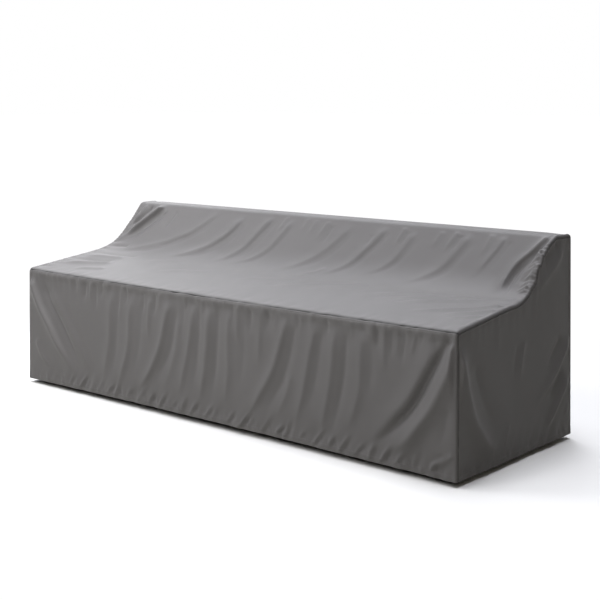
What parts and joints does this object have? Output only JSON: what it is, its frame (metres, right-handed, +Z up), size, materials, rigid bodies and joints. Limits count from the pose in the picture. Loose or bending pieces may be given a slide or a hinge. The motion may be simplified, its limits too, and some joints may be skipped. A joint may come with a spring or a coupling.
{
  "type": "outdoor sofa cover",
  "caption": "Fitted grey cloth cover for a long outdoor sofa, with a low seat part, a sloping back and a straight hem, sewn from flat panels and hanging in soft folds.",
  "frame": {"origin": "middle of the underside of the flat top, where the sofa's backrest carries the cover", "axes": "+X along the sofa to the right as seen from the front, -Y towards the front, +Z up"},
  "size_m": [2.4165, 0.8334, 0.7871],
  "materials": {
    "cover_cloth": "plain weave coated polyester, soft satin sheen"
  },
  "bodies": {
    "root": {"front_panel": "cover_cloth", "top_panel": "cover_cloth", "back_panel": "cover_cloth", "right_end_panel": "cover_cloth", "left_end_panel": "cover_cloth"}
  },
  "joints": []
}
